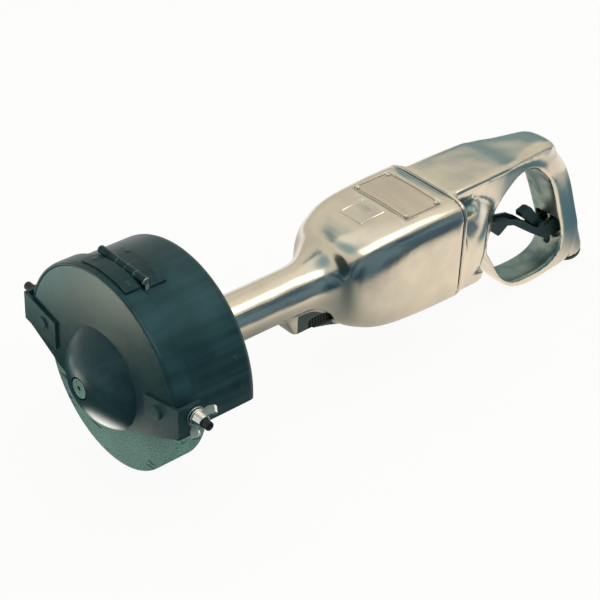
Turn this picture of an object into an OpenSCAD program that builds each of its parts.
// Horizontal pneumatic grinder with a hinged wheel guard and a closed D handle.
// X runs along the spindle from the wheel to the handle, Z is up, Y is to the left.
// The origin is the centre of the spindle's free end. Sizes are in millimetres.

/* [Grinding wheel] */
// Diameter of the abrasive wheel
wheel_d = 152.4; // [146:0.1:154]
// Thickness of the abrasive wheel
wheel_w = 30; // [24:0.5:32]
// Diameter of the wheel's hole and of the spindle end
arbor_d = 15.88; // [14:0.01:16.5]
// Diameter of the two clamping flanges
flange_d = 60; // [50:1:64]
// Thickness of each clamping flange
flange_t = 8; // [6:0.5:9]
// Distance from the spindle's end to the wheel's front face
wheel_x = 27; // [26:0.5:30]
// Thickness of each paper blotter
blotter_t = 0.8; // [0.5:0.1:1.2]
// Size across the flats of the spindle nut
nut_af = 24; // [22:0.5:25]

/* [Wheel guard] */
// Room between the wheel's rim and the inside of the guard drum
rim_room = 8.3; // [7.8:0.1:10]
// Thickness of the drum's steel
drum_t = 2.5; // [2:0.1:3.5]
// Rear face of the drum
drum_back_x = 94.5; // [93:0.5:96]
// Front edge of the drum
drum_front_x = 25; // [24:0.5:28]
// Radius of the drum's rear edge
drum_edge_r = 8; // [5:0.5:12]
// Thickness of the hinged cover's steel
cover_t = 2.4; // [1.6:0.1:3]
// Front plane of the cover's flat face
cover_x = 20; // [18:0.5:22]
// Rear edge of the cover's skirt
skirt_back_x = 37; // [35:0.5:39]
// Gap between the drum and the skirt that goes over it
skirt_gap = 0.5; // [0.4:0.1:0.8]
// Radius of the cover's dish where it leaves the flat face
dish_r = 41; // [39:0.5:44]
// Radius of the hole in the dish's middle
dish_hole_r = 9.3; // [9:0.1:11]
// Radius of the bead rolled along the cover's rim
bead_r = 1.5; // [1.2:0.1:2]

/* [Cover hinge] */
// Length of the hinge across the guard
hinge_w = 52; // [40:1:56]
// Distance of the hinge's middle from the centre plane
hinge_y = -1.2; // [-3:0.1:3]
// Radius of the hinge barrel
barrel_r = 3.1; // [2.8:0.1:3.6]
// Radius of the hinge pin
hinge_pin_r = 1.6; // [1.4:0.1:1.8]
// Thickness of the hinge leaves
leaf_t = 1.8; // [1.4:0.1:2.2]
// Length of each leaf along the tool
leaf_l = 15; // [12:0.5:17]

/* [Cover latches] */
// Radius of the latch studs
stud_r = 3.4; // [3:0.1:4.2]
// Position of the studs along the tool
stud_x = 31.6; // [30:0.1:33]
// Height of the studs over the spindle
stud_z = 18; // [16:0.5:20]
// Length of the studs outside the brackets
stud_out = 17.1; // [16:0.1:20]
// Thickness of the latch brackets
bracket_t = 2.6; // [2:0.1:3]
// Room between the cover's skirt and the brackets' side flanges
bracket_room = 0.9; // [0.7:0.1:1.5]
// Width of the slots that slip over the studs
latch_slot_w = 9.4; // [9:0.1:10]
// Span of the wing nuts over both wings
wing_span = 28; // [26:0.5:34]

/* [Neck and motor housing] */
// Radius of the neck
neck_r = 19.5; // [19:0.1:20.5]
// Front end of the neck
neck_front_x = 79; // [78:0.5:80]
// Rear face of the motor housing
seam_x = 343; // [342:0.5:345]
// Half the height and width of the housing over its flats
housing_half = 47.5; // [46.5:0.1:49]
// Roundness exponent of the housing's square section
housing_square = 6; // [4:0.1:7]
// Radius of the motor bore
motor_bore_r = 36; // [34:0.1:37]
// Front end of the motor bore
motor_front_x = 249.5; // [249:0.5:251]
// Half the width of the exhaust hood
hood_half_w = 14; // [12:0.5:16]

/* [Name plate] */
// Length of the plate along the tool
plate_l = 40; // [34:0.5:42]
// Width of the plate across the tool
plate_w = 64; // [56:0.5:66]
// Thickness of the plate
plate_t = 0.8; // [0.5:0.1:1.2]
// Front edge of the plate
plate_x = 291.5; // [290:0.5:297]

/* [Handle] */
// Half the width of the grip over its flat sides
grip_half_w = 17.5; // [16:0.1:19]
// How much the grip's half width falls with each millimetre downwards
grip_taper = 0.046; // [0:0.002:0.06]
// Thickness of the grip's edges
grip_edge = 3; // [2.5:0.1:4]
// Rounding of the rim inside the D opening
grip_round = 2.8; // [2:0.1:3]
// Height of the handle's flat top
handle_top_z = 48.4; // [47:0.2:49]
// Thickness of the handle's flange
handle_flange_t = 4.4; // [4:0.2:9]
// Distance of the four cap screws from the spindle, along Y and along Z
cap_screw_at = 32.5; // [31.5:0.1:33.5]
// Radius of the cap screws' heads
cap_head_r = 5.5; // [4.5:0.1:6]
// Radius of the cap screws
cap_screw_r = 3; // [2.5:0.1:3.5]

/* [Air inlet] */
// Radius of the inlet's pipe thread, as bored
inlet_r = 9.1; // [8:0.1:9.4]
// Depth of the inlet's thread
inlet_depth = 19; // [16:0.5:21]
// Outside radius of the inlet bushing
bushing_r = 11; // [10.8:0.1:11.6]
// Tilt of the inlet from straight down
inlet_tilt = 22; // [18:1:26]

/* [Throttle] */
// Half the width of the throttle lever
lever_half_w = 8; // [7:0.5:9]
// Thickness of the lever's two side plates
lever_plate_t = 2.4; // [1.8:0.1:2.8]
// Radius of the lever's pin
lever_pin_r = 2; // [1.6:0.1:2.4]
// Distance of the valve's axis behind the lever's pin
valve_arm = 14.4; // [14:0.1:15]

/* [Clearances] */
// Gap between parts that turn or slide past each other
gap = 0.3; // [0.25:0.05:0.35]
// Radial clearance of shafts and pins that turn in their bores
run_fit = 0.05; // [0.03:0.01:0.08]
// Radial clearance of parts that are set in a bore and stay there
seat_fit = 0.03; // [0.02:0.01:0.05]

/* [Hidden] */
$fn = 64;
eps = 0.01;

// Places worked out from the driving sizes
arbor_r = arbor_d / 2;
wheel_back_x = wheel_x + wheel_w;
inner_flange_x = wheel_back_x + blotter_t;
collar_x = inner_flange_x + flange_t;
nut_l = 11;
arbor_tip_l = wheel_x - blotter_t - flange_t - nut_l;
shaft_r = 7.5;
bearing_r = 16;
bearing_w = 9;
race_r = 10.5;
front_bearing_x = neck_front_x + 1.2;
rear_bearing_x = 227;
coupling_x = 238;
coupling_l = 10.5;
arbor_end_x = coupling_x + coupling_l / 2 - 0.15;
end_plate_t = 12;
front_plate_x = motor_front_x + 0.5;
cylinder_x = front_plate_x + end_plate_t;
cylinder_l = 65;
rear_plate_x = cylinder_x + cylinder_l;
cylinder_r = motor_bore_r - 0.1;
rotor_r = 24;
chamber_r = 27;
rotor_shift = chamber_r - rotor_r - gap;
gasket_t = 0.6;
handle_x = seam_x + gasket_t;
handle_flange_back_x = handle_x + handle_flange_t;
drum_r = wheel_d / 2 + rim_room + drum_t;
skirt_in_r = drum_r + skirt_gap;
skirt_r = skirt_in_r + cover_t;
hinge_x = skirt_back_x + barrel_r + 0.5;
hinge_z = drum_r + barrel_r + 0.4;
flange_y = skirt_r + bracket_room;
bracket_reach = flange_y + bracket_t;
bracket_in = 54;
stud_reach = bracket_reach + stud_out;
stud_head_y = drum_r - drum_t - 6.1;
washer_t = 1.6;
washer_y = bracket_reach + gap;
nut_y = washer_y + washer_t + gap;
nut_t = 9;
locknut_af = 11;
locknut_t = 5;
crown_r = 360;
lever_pin_x = 498.6;
lever_pin_z = -55;
latch_pin_x = 488;
latch_pin_z = -46;
latch_barrel_r = 4.6;
latch_pin_r = 1.5;
latch_half_w = 3.6;
lug_half_w = 4.6;
valve_x = lever_pin_x + valve_arm;
web_front_x = valve_x - 1.4;
slot_floor_z = -67;
lever_pocket_w = 13.4;
lever_low_z = -64;
lever_high_z = -43;
stem_r = 2;
guide_r = 5;
guide_bottom_z = -80;
disc_t = 2.6;
plug_top_z = -92;
plug_bottom_z = -98;
spring_r = 3.6;
spring_wire_r = 0.5;
inlet_in = 15;
screen_r = 10;
inlet_dir = [sin(inlet_tilt), 0, -cos(inlet_tilt)];
inlet_end = [537.9, 0, -92.7];
boss_r = bushing_r + 2.8;
bushing_out = inlet_depth - inlet_in;

// Sections of the motor housing: place, half the size over the flats, roundness exponent
housing_rows = [
    [176, neck_r + 0.15, 2], [196, neck_r + 0.2, 2], [212, neck_r + 1.1, 2.05], [222, neck_r + 4.6, 2.15],
    [229, neck_r + 9.4, 2.35], [234, neck_r + 15.8, 2.7], [240, housing_half - 8, 3.1],
    [248, housing_half - 5.6, 3.7], [258, housing_half - 3.3, housing_square - 1.6],
    [273, housing_half - 1.4, housing_square - 1.1], [292, housing_half - 0.4, housing_square - 0.8],
    [318, housing_half, housing_square - 0.3], [seam_x, housing_half, housing_square]
];

// Sections of the dome behind the flange: place, half width, bottom, top, exponents over and under the middle
dome_rows = [
    [handle_x + 2, 45.8, -46, 44, 2.1, 6], [362, 44.4, -45.8, 43, 2.1, 5], [374, 41, -45.4, 40.5, 2.1, 4.4],
    [386, 35, -44.6, 35, 2.2, 3.4], [398, 26.5, -43.4, 28, 2.5, 2.8], [410, 18.5, -42, 18, 3, 2.6], [414, 17.5, -41.5, 15, 3, 2.6]
];

// Sections of the flat-topped spine: place, half width over and under, bottom, drop of the top, corner radius
spine_rows = [
    [handle_x + 2, 28.8, 22, 10, 0.6, 3], [362, 28.8, 20, 9, 0, 3], [390, 28.6, 18, 8, -0.2, 3],
    [412, 28, 17.6, 8, 0, 3], [424, 26, 17.6, 14, 1.2, 3], [438, 24.2, 17.6, 22, 1.9, 3.2],
    [458, 21.8, 17.6, 24, 2.2, 3.5], [470, 20.4, 17.6, 24, 2.8, 4], [478, 19.6, 17, 25, 3.4, 4.6],
    [484, 18.8, 16, 26, 5.2, 5], [489.5, 17.4, 15, 27, 8.8, 5]
];

// Inner outline of the D opening, clockwise from the front wall: place, height, depth of the casting
grip_rows = [
    [410.4, -38.4, 10], [409.7, -28, 13.5], [410.8, -9.2, 14], [413.4, 1.2, 14], [418.9, 10.8, 14], [426.3, 18.7, 14],
    [433.3, 24.6, 15], [443, 27.4, 18], [455.6, 25.4, 22], [464.5, 21, 25.6], [474.8, 13, 26.2], [484.5, -0.1, 26],
    [493, -18.5, 27.2], [500.1, -37, 27.6], [505.4, -52, 28.5], [508, -66, 32], [506.6, -76, 33],
    [498.6, -83.6, 17], [484.4, -87.2, 13.5], [468.2, -87.8, 12.6], [452.6, -86.2, 8.6], [442.8, -82, 4.4],
    [435.2, -75.8, 3.4], [429, -68.4, 3.3], [421.8, -56.4, 3.6], [414.6, -45.6, 6.5]
];

// General shapes

function pick(list, i) = list[max(0, min(len(list) - 1, i))];
function wrap(list, i) = list[(i + len(list)) % len(list)];
function curve(a, b, c, d, t) =
    0.5 * (2 * b + (c - a) * t + (2 * a - 5 * b + 4 * c - d) * t * t + (3 * b - a - 3 * c + d) * t * t * t);
function smooth_rows(rows, steps) = concat(
    [for (i = [0:len(rows) - 2]) for (k = [0:steps - 1])
        curve(pick(rows, i - 1), rows[i], rows[i + 1], pick(rows, i + 2), k / steps)],
    [rows[len(rows) - 1]]);
function smooth_loop(rows, steps) =
    [for (i = [0:len(rows) - 1]) for (k = [0:steps - 1])
        curve(wrap(rows, i - 1), rows[i], wrap(rows, i + 1), wrap(rows, i + 2), k / steps)];
function unit(v) = v / norm(v);
function power(v, n) = sign(v) * pow(abs(v), n);

// A square with rounded sides and corners: an exponent of 2 is an ellipse, 5 a rounded square
function squircle(a, b, n, count) =
    [for (k = [0:count - 1]) [a * power(cos(360 * k / count), 2 / n), b * power(sin(360 * k / count), 2 / n)]];

// Skin through rings of equal point counts, open with end caps or closed into a loop
module skin(rings, loop = false) {
    n = len(rings[0]);
    m = len(rings);
    points = [for (ring = rings) each ring];
    last = loop ? m - 1 : m - 2;
    sides = [for (i = [0:last]) for (k = [0:n - 1])
        let (a = i * n + k, b = i * n + (k + 1) % n, c = ((i + 1) % m) * n + k, d = ((i + 1) % m) * n + (k + 1) % n)
        each [[a, c, b], [b, c, d]]];
    caps = loop ? [] : [[for (k = [0:n - 1]) k], [for (k = [n - 1:-1:0]) (m - 1) * n + k]];
    polyhedron(points = points, faces = concat(sides, caps), convexity = 6);
}

module housing_skin() {
    skin([for (r = smooth_rows(housing_rows, 2)) [for (p = squircle(r[1], r[1], r[2], 48)) [r[0], p[0], p[1]]]]);
}

module beam_skin(rows, steps, count) {
    skin([for (r = smooth_rows(rows, steps))
        [for (k = [0:count - 1]) let (a = 360 * k / count, n = sin(a) > 0 ? r[4] : r[5])
            [r[0], r[1] * power(cos(a), 2 / n), (sin(a) > 0 ? r[3] : -r[2]) * power(sin(a), 2 / n)]]]);
}

// Spine sections: rounded upper corners, sides that run in towards the bottom
module spine_skin() {
    skin([for (r = smooth_rows(spine_rows, 2)) let (z1 = handle_top_z - r[4], c = r[5], w = r[1])
        [for (p = concat([[-r[2], r[3]], [r[2], r[3]]], arc(w - c, z1 - c, c, -10, 90, 6), arc(c - w, z1 - c, c, 90, 190, 6)))
            [r[0], p[0], p[1]]]]);
}

// Section of the grip: a flat wall with rounded rims inside, a thin edge on both sides, round outside
function grip_section(depth, w) = concat(
    [for (k = [0:3]) [grip_round * (1 - cos(30 * (3 - k))), w - grip_round + grip_round * sin(30 * (3 - k))]],
    [for (k = [0:3]) [grip_round * (1 - cos(30 * k)), grip_round - w - grip_round * sin(30 * k)]],
    [for (k = [0:9]) let (v = -cos(20 * k))
        [grip_edge + (depth - grip_edge) * pow(max(0, 1 - pow(abs(v), 3)), 1 / 3), v * w]]);
function grip_half(z) = grip_half_w + grip_taper * (z + 40);

grip_steps = 3;
grip_path = smooth_loop(grip_rows, grip_steps);
function grip_out(i) =
    let (t = unit([wrap(grip_path, i + 1)[0] - wrap(grip_path, i - 1)[0],
                   wrap(grip_path, i + 1)[1] - wrap(grip_path, i - 1)[1]])) [-t[1], t[0]];

module grip_skin() {
    skin([for (i = [0:len(grip_path) - 1]) let (p = grip_path[i], out = grip_out(i))
        [for (q = grip_section(p[2], grip_half(p[1]))) [p[0] + out[0] * q[0], -q[1], p[1] + out[1] * q[0]]]], loop = true);
}

// The D opening as a prism across the tool, grown outwards by a margin; its corners lie between the grip's sections
module opening_prism(margin, half_w) {
    rotate([90, 0, 0]) translate([0, 0, -half_w]) linear_extrude(2 * half_w)
        polygon([for (i = [1:grip_steps:len(grip_path) - 1])
            let (p = (grip_path[i] + wrap(grip_path, i + 1)) / 2, out = (grip_out(i) + grip_out(i + 1)) / 2)
            [p[0] + out[0] * margin, p[1] + out[1] * margin]]);
}

// Cylinder along X from x0 to x1
module rod(r, x0, x1, y = 0, z = 0) {
    translate([x0, y, z]) rotate([0, 90, 0]) cylinder(r = r, h = x1 - x0);
}

module ring(r0, r1, x0, x1, y = 0, z = 0) {
    translate([x0, y, z]) rotate([0, 90, 0]) linear_extrude(x1 - x0)
        difference() { circle(r = r1); circle(r = r0); }
}

// Cylinder along Y from y0 to y1
module cross_rod(r, x, z, y0, y1) {
    translate([x, y1, z]) rotate([90, 0, 0]) cylinder(r = r, h = y1 - y0);
}

// Cylinder between two points of the plane Y = 0
module duct(r, from, to) {
    d = [to[0] - from[0], to[1] - from[1]];
    translate([from[0], 0, from[1]]) rotate([0, atan2(d[0], d[1]), 0]) cylinder(r = r, h = norm(d));
}

// Outline in X and Z, thickened along Y from y0 to y1
module plate_y(points, y0, y1) {
    translate([0, y1, 0]) rotate([90, 0, 0]) linear_extrude(y1 - y0) polygon(points);
}

// Outline in Y and Z, thickened along X from x0 to x1
module plate_x(points, x0, x1) {
    translate([x0, 0, 0]) multmatrix([[0, 0, 1, 0], [1, 0, 0, 0], [0, 1, 0, 0]])
        linear_extrude(x1 - x0) polygon(points);
}

// Profile of radius and place, turned round the spindle
module turned(points) {
    rotate([0, 90, 0]) rotate_extrude($fn = 96) polygon(points);
}

function arc(cx, cy, r, a0, a1, n) = [for (k = [0:n]) [cx + r * cos(a0 + (a1 - a0) * k / n), cy + r * sin(a0 + (a1 - a0) * k / n)]];

module four_corners(at) {
    for (y = [-at, at]) for (z = [-at, at]) translate([0, y, z]) children();
}

module mirrored(side) {
    if (side < 0) mirror([0, 1, 0]) children();
    else children();
}

// Bearing: the fixed ring with its two seals, and the inner race that turns
module bearing(x) {
    difference() {
        rod(bearing_r - seat_fit, x, x + bearing_w);
        rod(race_r + run_fit, x - eps, x + bearing_w + eps);
    }
}

module race(x) {
    difference() {
        rod(race_r, x, x + bearing_w);
        rod(shaft_r, x - eps, x + bearing_w + eps);
    }
}

// Motor housing: neck, lofted body, exhaust hood, and the bores inside

hood_line = [[185, -12], [187, -19], [193, -31.4], [197, -32.8], [212, -33], [246, -43], [256, -38], [256, -12]];
hood_window_x = 209;
hood_window_l = 29;
plate_screw_r = 1.1;
plate_top_z = 47.35;

module hood_web() {
    plate_y(hood_line, -hood_half_w, hood_half_w);
}

module hood_recess() {
    for (side = [-1, 1]) mirrored(side) translate([0, hood_half_w, 0])
        rotate([-90, 0, 0]) linear_extrude(40) translate([218, 47.5]) circle(r = 22);
}

module motor_housing() {
    color("gainsboro") difference() {
        union() {
            rod(neck_r, neck_front_x, 177);
            difference() {
                housing_skin();
                hood_recess();
            }
            hood_web();
        }
        // Seats of the two arbor bearings and the way between them
        rod(bearing_r, neck_front_x - 1, front_bearing_x + bearing_w);
        rod(12, front_bearing_x, rear_bearing_x + 1);
        rod(bearing_r, rear_bearing_x, motor_front_x + 1);
        rod(motor_bore_r, motor_front_x, seam_x + 1);
        // Exhaust groove under the motor cylinder and the window through the hood
        translate([210, -9, -40]) cube([104, 18, 9]);
        translate([hood_window_x, -hood_half_w - 1, -33]) cube([hood_window_l, 2 * hood_half_w + 2, 9]);
        four_corners(cap_screw_at) rod(cap_screw_r + seat_fit, seam_x - 20, seam_x + 1);
        crowned(plate_x - 0.2, plate_x + plate_l + 0.2, plate_w / 2 + 0.2, 3.2, plate_top_z + 3, plate_t + 3 + 0.1);
        crowned(260, 287, 13.5, 1.5, plate_top_z + 3, 4.6);
        plate_corners() cylinder(r = plate_screw_r + seat_fit, h = 20, center = true, $fn = 24);
    }
}

// A strip with rounded corners, bent to the crown of the housing
module crowned(x0, x1, half_w, corner, top, t) {
    intersection() {
        translate([x0, 0, top - crown_r]) rotate([0, 90, 0]) linear_extrude(x1 - x0) difference() {
            circle(r = crown_r, $fn = 720);
            circle(r = crown_r - t, $fn = 720);
        }
        translate([0, 0, top - 20]) linear_extrude(40) rounded_box(x0, x1, half_w, corner);
    }
}

module rounded_box(x0, x1, half_w, corner) {
    translate([x0, -half_w + corner]) square([x1 - x0, 2 * (half_w - corner)]);
    translate([x0 + corner, -half_w]) square([x1 - x0 - 2 * corner, 2 * half_w]);
    for (x = [x0 + corner, x1 - corner]) for (y = [-half_w + corner, half_w - corner]) translate([x, y]) circle(r = corner);
}

module plate_corners() {
    for (x = [plate_x + 3.5, plate_x + plate_l - 3.5]) for (y = [-plate_w / 2 + 4, plate_w / 2 - 4])
        translate([x, y, plate_top_z - 1.2]) children();
}

module name_plate() {
    color("silver") difference() {
        crowned(plate_x, plate_x + plate_l, plate_w / 2, 3, plate_top_z, plate_t);
        plate_corners() cylinder(r = plate_screw_r + seat_fit, h = 20, center = true, $fn = 24);
    }
}

module plate_screws() {
    color("lightgray") plate_corners() {
        translate([0, 0, -8.9]) cylinder(r = plate_screw_r, h = 10, $fn = 24);
        translate([0, 0, 1.1]) cylinder(r1 = 2, r2 = 1.3, h = 0.9, $fn = 24);
    }
}

module exhaust_screens() {
    color("dimgray") for (side = [-1, 1]) mirrored(side) difference() {
        translate([hood_window_x, hood_half_w - 3, -33]) cube([hood_window_l, 1.2, 9]);
        for (i = [0:8]) for (j = [0:2])
            cross_rod(1.05, hood_window_x + 2.4 + i * 3, -31.2 + j * 2.7, hood_half_w - 4, hood_half_w);
    }
}

// Gasket and handle

module flange_outline(half) {
    polygon(squircle(half, half, housing_square, 96));
}

module flange_plate(half, x0, x1) {
    translate([x0, 0, 0]) rotate([0, 90, 0]) linear_extrude(x1 - x0) flange_outline(half);
}

module handle_gasket() {
    color("darkslategray") difference() {
        flange_plate(housing_half - 0.8, seam_x, handle_x);
        rod(motor_bore_r, seam_x - 1, handle_x + 1);
        four_corners(cap_screw_at) rod(cap_screw_r + gap, seam_x - 1, handle_x + 1);
    }
}

module cap_screws() {
    color("darkslategray") four_corners(cap_screw_at) difference() {
        union() {
            rod(cap_screw_r, seam_x - 17, handle_flange_back_x);
            rod(cap_head_r, handle_flange_back_x, handle_flange_back_x + 6);
        }
        translate([handle_flange_back_x + 2.6, 0, 0]) rotate([0, 90, 0]) cylinder(r = 2.9, h = 4, $fn = 6);
    }
}

// Air way through the spine and down the grip, as an outline in X and Z
air_way = [[360, 35], [441, 35], [456, 35], [472, 30], [486, 19], [497, 5], [505, -12], [512, -30], [520.5, -46], [520.5, -62],
           [529.5, -62], [529, -48], [522, -28], [514, -8], [504, 14], [492, 27], [478, 36], [462, 41], [441, 42.5], [360, 42.5]];

module inlet_bore(r, from, to) {
    translate(inlet_end - from * inlet_dir) rotate([0, -inlet_tilt, 0]) cylinder(r = r, h = to - from);
}

module handle_casting() {
    color("gainsboro") difference() {
        union() {
            difference() {
                union() {
                    flange_plate(housing_half, handle_x, handle_flange_back_x);
                    beam_skin(dome_rows, 2, 40);
                    // Square foot at the bottom of the flange
                    intersection() {
                        flange_plate(housing_half - 1.6, handle_flange_back_x - 1, 375);
                        translate([handle_x, -50, -50]) cube([60, 100, 22]);
                    }
                    spine_skin();
                }
                opening_prism(0.7, 40);
            }
            grip_skin();
            inlet_bore(boss_r, 0, 26);
            ring(31, cylinder_r, rear_plate_x + end_plate_t, handle_x + 1);
            // Lug that carries the lever's pin
            plate_y([[494.8, -56], [495.2, -52.6], [498.5, -50.6], [503, -52.5], [508, -57], [510.8, -63], [510.8, -72],
                     [508.5, -72], [508.5, -65], [505, -60.6], [498, -59.2]], -lug_half_w, lug_half_w);
        }
        // Plenum behind the motor, the air way, and the link down to the valve
        rod(27, handle_x - 1, 368);
        plate_y(air_way, -9, 9);
        duct(2.7, [525, -60], [valve_x + 1, -74.9]);
        duct(3, [528, -80], [valve_x, -86]);
        // Slot for the lever's rear arms on both sides of the lug
        lever_slot();
        cross_rod(lever_pin_r + seat_fit, lever_pin_x, lever_pin_z, -20, 20);
        // Valve bore from below
        translate([valve_x, 0, plug_bottom_z - 12]) cylinder(r = guide_r + seat_fit, h = slot_floor_z - plug_bottom_z + 12 - 0.5);
        translate([valve_x, 0, slot_floor_z - 1]) cylinder(r = 3, h = 2);
        // Inlet bore with its thread seat, and the pocket behind it
        inlet_bore(bushing_r + seat_fit, -1, inlet_in);
        inlet_bore(screen_r, inlet_in - 1, inlet_in + 8);
        // Cap screws: shank holes and the pockets round their heads
        four_corners(cap_screw_at) {
            rod(cap_screw_r + seat_fit, handle_x - 1, handle_flange_back_x + 1);
            rod(cap_head_r + 1.6, handle_flange_back_x, handle_flange_back_x + 22);
        }
    }
}

// Room for the lever's rear end: wide pockets beside the lug, and a narrow slot over the valve
module lever_slot() {
    for (side = [-1, 1]) mirrored(side) {
        translate([490, lug_half_w, lever_low_z]) cube([26.6, lever_pocket_w - lug_half_w, lever_high_z - lever_low_z]);
        translate([490, lug_half_w, slot_floor_z]) cube([28, lever_half_w + 0.6 - lug_half_w, 8]);
    }
    translate([web_front_x - 1.7, -lever_half_w - 0.6, slot_floor_z])
        cube([518 - web_front_x + 1.7, 2 * lever_half_w + 1.2, lever_high_z - slot_floor_z]);
    translate([490, -lever_pocket_w, -50]) cube([26.6, 2 * lever_pocket_w, lever_high_z + 50]);
}

// Air inlet

module inlet_bushing() {
    color("dimgray") difference() {
        union() {
            inlet_bore(bushing_r, -1, inlet_in);
            inlet_bore(boss_r - 1.4, -bushing_out, 0);
        }
        inlet_bore(inlet_r, -bushing_out - 1, inlet_in + 1);
    }
}

module inlet_screen() {
    color("silver") difference() {
        inlet_bore(screen_r - seat_fit, inlet_in, inlet_in + 1);
        for (i = [0:11]) translate(inlet_end - (inlet_in - 1) * inlet_dir) rotate([0, -inlet_tilt, 0])
            rotate(30 * i) for (d = [3.4, 6.4]) translate([d, 0, 0]) cylinder(r = d / 6, h = 4, $fn = 16);
    }
}

// Throttle valve: guide, stem, disc, spring and plug, one over the other

module upright(r, z0, z1) {
    translate([valve_x, 0, z0]) cylinder(r = r, h = z1 - z0);
}

module valve_guide() {
    color("goldenrod") difference() {
        upright(guide_r, guide_bottom_z, slot_floor_z - 0.5);
        upright(stem_r + run_fit, guide_bottom_z - 1, slot_floor_z);
        upright(3.6, guide_bottom_z - 1, slot_floor_z - 4.5);
        translate([valve_x, 0, -75]) rotate([0, 90, 0]) cylinder(r = 2.4, h = 8);
    }
}

module valve_stem() {
    color("silver") {
        upright(stem_r, guide_bottom_z - gap, lever_pin_z - 6.9 - stem_r);
        translate([valve_x, 0, lever_pin_z - 6.9 - stem_r]) sphere(r = stem_r, $fn = 32);
        upright(1.4, guide_bottom_z - gap - disc_t - 3, guide_bottom_z - gap);
    }
}

module valve_disc() {
    color("dimgray") difference() {
        upright(4.3, guide_bottom_z - gap - disc_t, guide_bottom_z - gap);
        upright(1.4 + seat_fit, guide_bottom_z - 10, guide_bottom_z + 1);
    }
}

module valve_spring() {
    turns = 4;
    per_turn = 16;
    top = guide_bottom_z - gap - disc_t - 0.1;
    color("silver") skin([for (i = [0:turns * per_turn])
        let (a = 360 * i / per_turn, z = plug_top_z + spring_wire_r + (top - plug_top_z - 2 * spring_wire_r) * i / (turns * per_turn))
        [for (k = [0:5]) let (q = -60 * k) [valve_x + (spring_r - spring_wire_r + spring_wire_r * cos(q)) * cos(a),
            (spring_r - spring_wire_r + spring_wire_r * cos(q)) * sin(a), z + spring_wire_r * sin(q)]]]);
}

module valve_plug() {
    color("silver") difference() {
        upright(guide_r, plug_bottom_z, plug_top_z);
        translate([valve_x, 0, plug_bottom_z - 1]) cylinder(r = 2.4, h = 4, $fn = 6);
    }
}

// Throttle lever and its lock

lever_line = [[419, -17.6], [426, -20.4], [441.6, -24.6], [456.4, -28], [460, -30.6], [466, -34], [479, -44.2],
              [484.2, -47], [485.2, -43.6], [488, -42.6], [490.8, -43.6], [492, -47.6], [494, -48.6], [501, -45.8],
              [510.3, -46.9], [515.4, -60.4], [505.7, -62.2], [493.6, -61.4], [475.1, -49.2], [450.8, -31.7],
              [442.6, -28.9], [434.5, -34.4], [431.6, -35.2], [424.2, -28.8]];

module throttle_lever() {
    inner = lever_half_w - lever_plate_t;
    color([0.2, 0.2, 0.22]) difference() {
        union() {
            for (side = [-1, 1]) mirrored(side) plate_y(lever_line, inner, lever_half_w);
            // Web along the finger side
            plate_y([[421.6, -23.4], [424.2, -28.8], [442.6, -28.9], [450.8, -31.7], [475.1, -49.2], [492, -60.3],
                     [492.8, -58], [475.6, -46.6], [451.6, -29.6], [443, -27], [426, -27]], -lever_half_w, lever_half_w);
            // Rear web that presses the valve's stem
            plate_y([[web_front_x, -55.5], [valve_x + 2.4, -55.5], [valve_x + 2.4, -61.6], [web_front_x, -61.6]],
                    -lever_half_w, lever_half_w);
        }
        cross_rod(lever_pin_r + run_fit, lever_pin_x, lever_pin_z, -20, 20);
        cross_rod(latch_pin_r + seat_fit, latch_pin_x, latch_pin_z, -20, 20);
    }
}

module lever_pin() {
    color("silver") cross_rod(lever_pin_r, lever_pin_x, lever_pin_z, -lever_half_w - 0.3, lever_half_w + 0.3);
}

module latch_pin() {
    color("silver") cross_rod(latch_pin_r, latch_pin_x, latch_pin_z, -lever_half_w - 0.2, lever_half_w + 0.2);
}

module lock_latch() {
    w = lever_half_w - lever_plate_t - gap;
    color([0.22, 0.22, 0.24]) difference() {
        union() {
            cross_rod(latch_barrel_r, latch_pin_x, latch_pin_z, -w, w);
            plate_y([[464.6, -26.8], [473, -24.4], [477, -25.8], [481.2, -31], [490.8, -42.4], [484.5, -48.2],
                     [477.6, -41.4], [470, -34.4], [465.6, -31.6]], -latch_half_w, latch_half_w);
        }
        cross_rod(latch_pin_r + run_fit, latch_pin_x, latch_pin_z, -20, 20);
    }
}

// Spindle: arbor, races, wheel and clamping parts

module arbor() {
    color("silver") difference() {
        union() {
            rod(arbor_r, 0, arbor_tip_l);
            rod(arbor_r - 0.6, arbor_tip_l, arbor_tip_l + 1);
            rod(arbor_r, arbor_tip_l + 1, collar_x);
            rod(11, collar_x, collar_x + 9);
            rod(9.2, collar_x + 9, front_bearing_x);
            rod(shaft_r - seat_fit, front_bearing_x, front_bearing_x + bearing_w);
            rod(9.2, front_bearing_x + bearing_w, rear_bearing_x);
            rod(shaft_r - seat_fit, rear_bearing_x, arbor_end_x);
        }
        rod(2, -1, 5);
    }
}

module front_arbor_bearing() { color("silver") bearing(front_bearing_x); }
module rear_arbor_bearing() { color("silver") bearing(rear_bearing_x); }
module front_arbor_race() { color("gray") race(front_bearing_x); }
module rear_arbor_race() { color("gray") race(rear_bearing_x); }
module front_rotor_bearing() { color("silver") bearing(front_plate_x); }
module rear_rotor_bearing() { color("silver") bearing(rear_plate_x + end_plate_t - bearing_w); }
module front_rotor_race() { color("gray") race(front_plate_x); }
module rear_rotor_race() { color("gray") race(rear_plate_x + end_plate_t - bearing_w); }

module arbor_seal() {
    color("dimgray") ring(9.2 + gap, bearing_r - seat_fit, neck_front_x, front_bearing_x);
}

module arbor_coupling() {
    color("gray") difference() {
        rod(11.4, coupling_x, coupling_x + coupling_l);
        rod(shaft_r, coupling_x - 1, coupling_x + coupling_l + 1);
        for (a = [0:60:300]) rotate([a, 0, 0]) translate([coupling_x - 1, -1, 10.4]) cube([coupling_l + 2, 2, 3]);
    }
}

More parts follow.
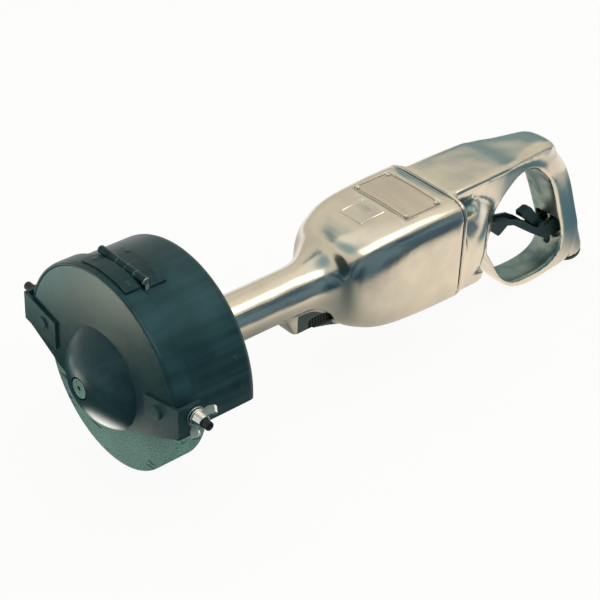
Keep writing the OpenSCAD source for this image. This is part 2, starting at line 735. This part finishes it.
module grinding_wheel() {
    color("seagreen") ring(arbor_r + seat_fit, wheel_d / 2, wheel_x, wheel_back_x);
}

module wheel_blotters() {
    color("tan") for (x = [wheel_x - blotter_t, wheel_back_x]) ring(arbor_r + gap, flange_d / 2 + 1.5, x, x + blotter_t);
}

module outer_wheel_flange() {
    x1 = wheel_x - blotter_t;
    color("gray") turned([[arbor_r + seat_fit, x1 - flange_t], [17, x1 - flange_t], [flange_d / 2 - 1.5, x1 - flange_t + 4],
        [flange_d / 2, x1 - flange_t + 5.5], [flange_d / 2, x1], [flange_d / 2 - 7, x1], [flange_d / 2 - 7, x1 - 1.2],
        [arbor_r + seat_fit, x1 - 1.2]]);
}

module inner_wheel_flange() {
    x0 = wheel_back_x + blotter_t;
    color("gray") turned([[arbor_r + seat_fit, x0 + 1.2], [flange_d / 2 - 7, x0 + 1.2], [flange_d / 2 - 7, x0],
        [flange_d / 2, x0], [flange_d / 2, x0 + flange_t - 2], [flange_d / 2 - 1.5, x0 + flange_t], [arbor_r + seat_fit, x0 + flange_t]]);
}

module spindle_nut() {
    x1 = wheel_x - blotter_t - flange_t;
    color("gray") difference() {
        intersection() {
            translate([x1 - nut_l, 0, 0]) rotate([0, 90, 0]) cylinder(r = nut_af / 2 / cos(30), h = nut_l, $fn = 6);
            translate([x1 - nut_l, 0, 0]) rotate([0, 90, 0]) cylinder(r1 = nut_af / 2, r2 = nut_af / 2 + nut_l * 1.6, h = nut_l);
        }
        rod(arbor_r + seat_fit, 0, x1 + 1);
    }
}

// Motor: end plates, cylinder, rotor and vanes

module end_plate(x, pocket_x) {
    difference() {
        rod(cylinder_r, x, x + end_plate_t);
        rod(11, x - 1, x + end_plate_t + 1);
        rod(bearing_r, pocket_x, pocket_x + bearing_w);
    }
}

module front_end_plate() {
    color("silver") difference() {
        end_plate(front_plate_x, front_plate_x);
        rod(bearing_r, front_plate_x - 1, front_plate_x + 1);
    }
}

module rear_end_plate() {
    color("silver") difference() {
        end_plate(rear_plate_x, rear_plate_x + end_plate_t - bearing_w);
        rod(bearing_r, rear_plate_x + end_plate_t - 1, rear_plate_x + end_plate_t + 1);
        // Air ports from the plenum into the chamber
        for (y = [-21, 21]) rod(3.6, rear_plate_x - 1, rear_plate_x + end_plate_t + 1, y, 9);
    }
}

module motor_cylinder() {
    color("silver") difference() {
        rod(cylinder_r, cylinder_x, rear_plate_x);
        rod(chamber_r, cylinder_x - 1, rear_plate_x + 1, 0, rotor_shift);
        // Exhaust slots in the floor
        for (i = [0:3]) translate([cylinder_x + 8 + i * 11, -8, -cylinder_r - 1]) cube([4, 16, 16]);
    }
}

vane_t = 3;
vane_foot = 13;

module rotor() {
    color("silver") difference() {
        union() {
            rod(rotor_r, cylinder_x + 0.1, rear_plate_x - 0.1);
            rod(shaft_r - seat_fit, arbor_end_x + 0.3, cylinder_x + 1);
            rod(shaft_r - seat_fit, rear_plate_x - 1, rear_plate_x + end_plate_t);
        }
        for (a = [45:90:315]) rotate([a, 0, 0])
            translate([cylinder_x - 1, -vane_t / 2 - run_fit, vane_foot]) cube([cylinder_l + 2, vane_t + 2 * run_fit, 20]);
    }
}

module rotor_vanes() {
    color("tan") for (a = [45:90:315]) rotate([a, 0, 0]) intersection() {
        translate([cylinder_x + 0.15, -vane_t / 2, vane_foot]) cube([cylinder_l - 0.3, vane_t, 20]);
        rod(rotor_r - 0.05, cylinder_x, rear_plate_x);
    }
}

// Guard: drum, collar and the hinged cover

keep_r = drum_r + 23;
guard_keep = [[-keep_r, 0], [-drum_r, 0], [-38, -26], [-22, -33], [22, -33], [38, -26], [drum_r, 0], [keep_r, 0],
              [keep_r, keep_r], [-keep_r, keep_r]];
cover_keep = [[-keep_r, -2], [-drum_r - 1, -2], [-54, -19], [-36, -25], [36, -25], [54, -19], [drum_r + 1, -2],
              [keep_r, -2], [keep_r, keep_r], [-keep_r, keep_r]];

module guard_drum() {
    r = drum_edge_r;
    ri = r - drum_t;
    x1 = drum_back_x;
    color([0.16, 0.2, 0.22]) difference() {
        intersection() {
            turned(concat([[drum_r - drum_t, drum_front_x], [drum_r, drum_front_x]],
                arc(drum_r - r, x1 - r, r, 0, 90, 8), [[neck_r + gap, x1], [neck_r + gap, x1 - drum_t]],
                arc(drum_r - r, x1 - r, ri, 90, 0, 6)));
            plate_x(guard_keep, drum_front_x - 1, x1 + 1);
        }
        for (side = [-1, 1]) mirrored(side) cross_rod(stud_r + seat_fit, stud_x, stud_z, 60, bracket_reach);
    }
}

module guard_collar() {
    color([0.2, 0.24, 0.26]) difference() {
        union() {
            ring(neck_r + run_fit, neck_r + 5.6, 80.5, drum_back_x - drum_t);
            translate([80.5, -9, neck_r + 3]) cube([drum_back_x - drum_t - 80.5, 18, 13]);
        }
        translate([80, -1.5, neck_r - 2]) cube([12, 3, 22]);
        rod(neck_r + run_fit, 80, drum_back_x);
        cross_rod(2.55, 85.5, neck_r + 10.5, -20, 20);
    }
}

module guard_clamp_screw() {
    color("gray") difference() {
        union() {
            cross_rod(2.5, 85.5, neck_r + 10.5, -13, 9);
            cross_rod(4.2, 85.5, neck_r + 10.5, 9, 14);
            translate([85.5, -9, neck_r + 10.5]) rotate([90, 0, 0]) cylinder(r = 4.6, h = 4, $fn = 6);
        }
        translate([85.5, 15, neck_r + 10.5]) rotate([90, 0, 0]) cylinder(r = 2.3, h = 4, $fn = 6);
    }
}

module leaf(x0, x1, r) {
    intersection() {
        ring(r, r + leaf_t, x0, x1);
        translate([0, hinge_y - hinge_w / 2, 60]) cube([100, hinge_w, 60]);
    }
}

module knuckles(which, web_x0, web_x1, clear_r) {
    step = hinge_w / 5;
    difference() {
        union() for (i = which) {
            y0 = hinge_y - hinge_w / 2 + i * step + (i > 0 ? gap / 2 : 0);
            y1 = hinge_y - hinge_w / 2 + (i + 1) * step - (i < 4 ? gap / 2 : 0);
            cross_rod(barrel_r, hinge_x, hinge_z, y0, y1);
            translate([web_x0, y0, hinge_z - 12]) cube([web_x1 - web_x0, y1 - y0, 12]);
        }
        rod(clear_r, 0, 100);
        cross_rod(hinge_pin_r + run_fit, hinge_x, hinge_z, -60, 60);
    }
}

module front_hinge_leaf() {
    color([0.14, 0.18, 0.2]) {
        leaf(cover_x + 3.4, skirt_back_x, skirt_r);
        difference() {
            knuckles([1, 3], skirt_back_x - 1, hinge_x, skirt_in_r + 0.3);
            rod(skirt_r, 0, skirt_back_x);
            rod(skirt_in_r, 0, 100);
        }
    }
}

module rear_hinge_leaf() {
    color([0.14, 0.18, 0.2]) {
        leaf(hinge_x + barrel_r, hinge_x + barrel_r + leaf_l, drum_r);
        knuckles([0, 2, 4], hinge_x, hinge_x + barrel_r + 1, drum_r);
    }
}

module hinge_pin() {
    color("silver") {
        cross_rod(hinge_pin_r, hinge_x, hinge_z, hinge_y - hinge_w / 2 - 0.8, hinge_y + hinge_w / 2 + 0.8);
        for (side = [-1, 1]) translate([0, hinge_y + side * (hinge_w / 2 + 0.6), 0]) cross_rod(2.5, hinge_x, hinge_z, -0.6, 0.6);
    }
}

module latch_studs() {
    color("gray") for (side = [-1, 1]) mirrored(side) difference() {
        union() {
            cross_rod(stud_r, stud_x, stud_z, stud_head_y, stud_reach);
            cross_rod(stud_r + 2, stud_x, stud_z, stud_head_y - 1.5, stud_head_y);
        }
        cross_rod(stud_r - 1.6, stud_x, stud_z, stud_reach - 1.2, stud_reach + 1);
    }
}

// Profile of the dish from its hole to the face, a ball's cap or its inner wall set in by the steel's thickness
dish_d = cover_x - 0.6;
ball_r = (pow(dish_r - 1, 2) + pow(dish_d, 2)) / (2 * dish_d);
function dome_arc(inset, n) =
    let (a0 = asin(dish_hole_r / ball_r), a1 = asin((dish_r - 1) / ball_r), lead = ball_r * (1 - cos(a0)))
    [for (k = [0:n]) let (a = a0 + (a1 - a0) * k / n, r = ball_r - inset)
        [k == 0 ? dish_hole_r : r * sin(a), max(inset * 0.9, ball_r - lead - r * cos(a))]];

// Cover profile: the dish, flat face, rounded rim with a bead, skirt
module guard_cover() {
    t = cover_t;
    color([0.16, 0.2, 0.22]) difference() {
        intersection() {
            turned(concat(dome_arc(0, 12),
                [[dish_r, cover_x], [skirt_r - 3, cover_x]], arc(skirt_r - 3, cover_x + 3, 3, -90, 0, 5),
                [[skirt_r, skirt_back_x], [skirt_in_r, skirt_back_x], [skirt_in_r, cover_x + 3]],
                [[skirt_in_r - 0.8, cover_x + t], [dish_r - 1, cover_x + t]],
                [for (k = [12:-1:0]) dome_arc(t, 12)[k]]));
            union() {
                plate_x(cover_keep, -1, skirt_back_x + 1);
                rod(dish_r + 0.6, -1, skirt_back_x + 1);
            }
        }
        for (side = [-1, 1]) mirrored(side) latch_slot(60, bracket_reach);
    }
    color([0.16, 0.2, 0.22]) difference() {
        intersection() {
            turned([for (k = [0:15]) [skirt_r - 2 + bead_r * cos(22.5 * k), cover_x + 0.8 + bead_r * sin(22.5 * k)]]);
            plate_x(cover_keep, cover_x - 1, skirt_back_x);
        }
        // The bead ends where the latch brackets lie on the face
        for (side = [-1, 1]) mirrored(side) translate([cover_x - 2, bracket_in - gap, -5])
            cube([2, bracket_reach - bracket_in + 2.6, 34]);
    }
}

// Slot that opens to the rear and flares downwards, as the cover swings up off the studs
module latch_slot(y0, y1) {
    h = latch_slot_w / 2;
    cross_rod(h, stud_x, stud_z, y0, y1);
    plate_y([[stud_x, stud_z + h], [stud_x + 20, stud_z + h], [stud_x + 20, stud_z - h - 4.6], [stud_x, stud_z - h]], y0, y1);
}

bracket_line = [[bracket_in, -4], [bracket_in, 19.5], [bracket_reach, 27.5], [bracket_reach, 3.5]];
rivet_at = [69, 12];

module latch_bracket() {
    x0 = cover_x - bracket_t;
    difference() {
        union() {
            plate_x(bracket_line, x0, cover_x);
            translate([x0, flange_y, 3.5]) cube([skirt_back_x - x0, bracket_t, 24]);
        }
        latch_slot(flange_y - 1, bracket_reach + 1);
        translate([x0 - 1, rivet_at[0], rivet_at[1]]) rotate([0, 90, 0]) cylinder(r = 2.5 + seat_fit, h = 10);
    }
}

module left_latch_bracket() { color([0.18, 0.22, 0.24]) latch_bracket(); }
module right_latch_bracket() { color([0.18, 0.22, 0.24]) mirror([0, 1, 0]) latch_bracket(); }

module bracket_rivets() {
    color([0.2, 0.24, 0.26]) for (side = [-1, 1]) mirrored(side) translate([0, rivet_at[0], rivet_at[1]]) {
        rod(2.5, cover_x - bracket_t, cover_x);
        translate([cover_x - bracket_t - 1.8, 0, 0]) rotate([0, 90, 0]) cylinder(r1 = 4.6, r2 = 5.8, h = 1.8);
    }
}

module latch_washer() {
    translate([stud_x, washer_y + washer_t, stud_z]) rotate([90, 0, 0]) linear_extrude(washer_t)
        difference() { circle(r = 7.6); circle(r = stud_r + run_fit); }
}

module wing_nut(turn) {
    translate([stud_x, nut_y, stud_z]) rotate([-90, 0, 0]) difference() {
        union() {
            cylinder(r1 = 7, r2 = 5.8, h = nut_t);
            for (a = [0, 180]) rotate(turn + a) translate([0, 1.3, 0]) rotate([90, 0, 0]) linear_extrude(2.6) {
                polygon([[4.5, 0.8], [6.8, 0.8], [12.6, 4.6], [15, 8.6], [10.3, 12.2], [6.2, 8.4], [4.5, 8.4]]);
                translate([wing_span / 2 - 3, 10.2]) circle(r = 3);
            }
        }
        translate([0, 0, -1]) cylinder(r = stud_r + run_fit, h = nut_t + 10);
    }
}

module left_latch_washer() { color("silver") latch_washer(); }
module right_latch_washer() { color("silver") mirror([0, 1, 0]) latch_washer(); }
module left_locknut() {
    color("gray") translate([stud_x, nut_y, stud_z]) rotate([-90, 0, 0]) difference() {
        intersection() {
            cylinder(r = locknut_af / 2 / cos(30), h = locknut_t, $fn = 6);
            cylinder(r1 = locknut_af / 2 + 8, r2 = locknut_af / 2, h = locknut_t);
        }
        translate([0, 0, -1]) cylinder(r = stud_r + run_fit, h = locknut_t + 2);
    }
}
module right_wing_nut() { color("silver") mirror([0, 1, 0]) wing_nut(-45); }

motor_housing();
handle_casting();
handle_gasket();
cap_screws();
name_plate();
plate_screws();
arbor_seal();
front_arbor_bearing();
rear_arbor_bearing();
front_end_plate();
motor_cylinder();
rear_end_plate();
front_rotor_bearing();
rear_rotor_bearing();
exhaust_screens();
inlet_bushing();
inlet_screen();
valve_guide();
valve_plug();
valve_spring();
lever_pin();
guard_drum();
guard_collar();
guard_clamp_screw();
rear_hinge_leaf();
hinge_pin();
latch_studs();
guard_cover();
front_hinge_leaf();
left_latch_bracket();
right_latch_bracket();
bracket_rivets();
left_latch_washer();
left_locknut();
right_latch_washer();
right_wing_nut();
arbor();
grinding_wheel();
wheel_blotters();
inner_wheel_flange();
outer_wheel_flange();
spindle_nut();
front_arbor_race();
rear_arbor_race();
arbor_coupling();
rotor();
rotor_vanes();
front_rotor_race();
rear_rotor_race();
throttle_lever();
latch_pin();
lock_latch();
valve_stem();
valve_disc();
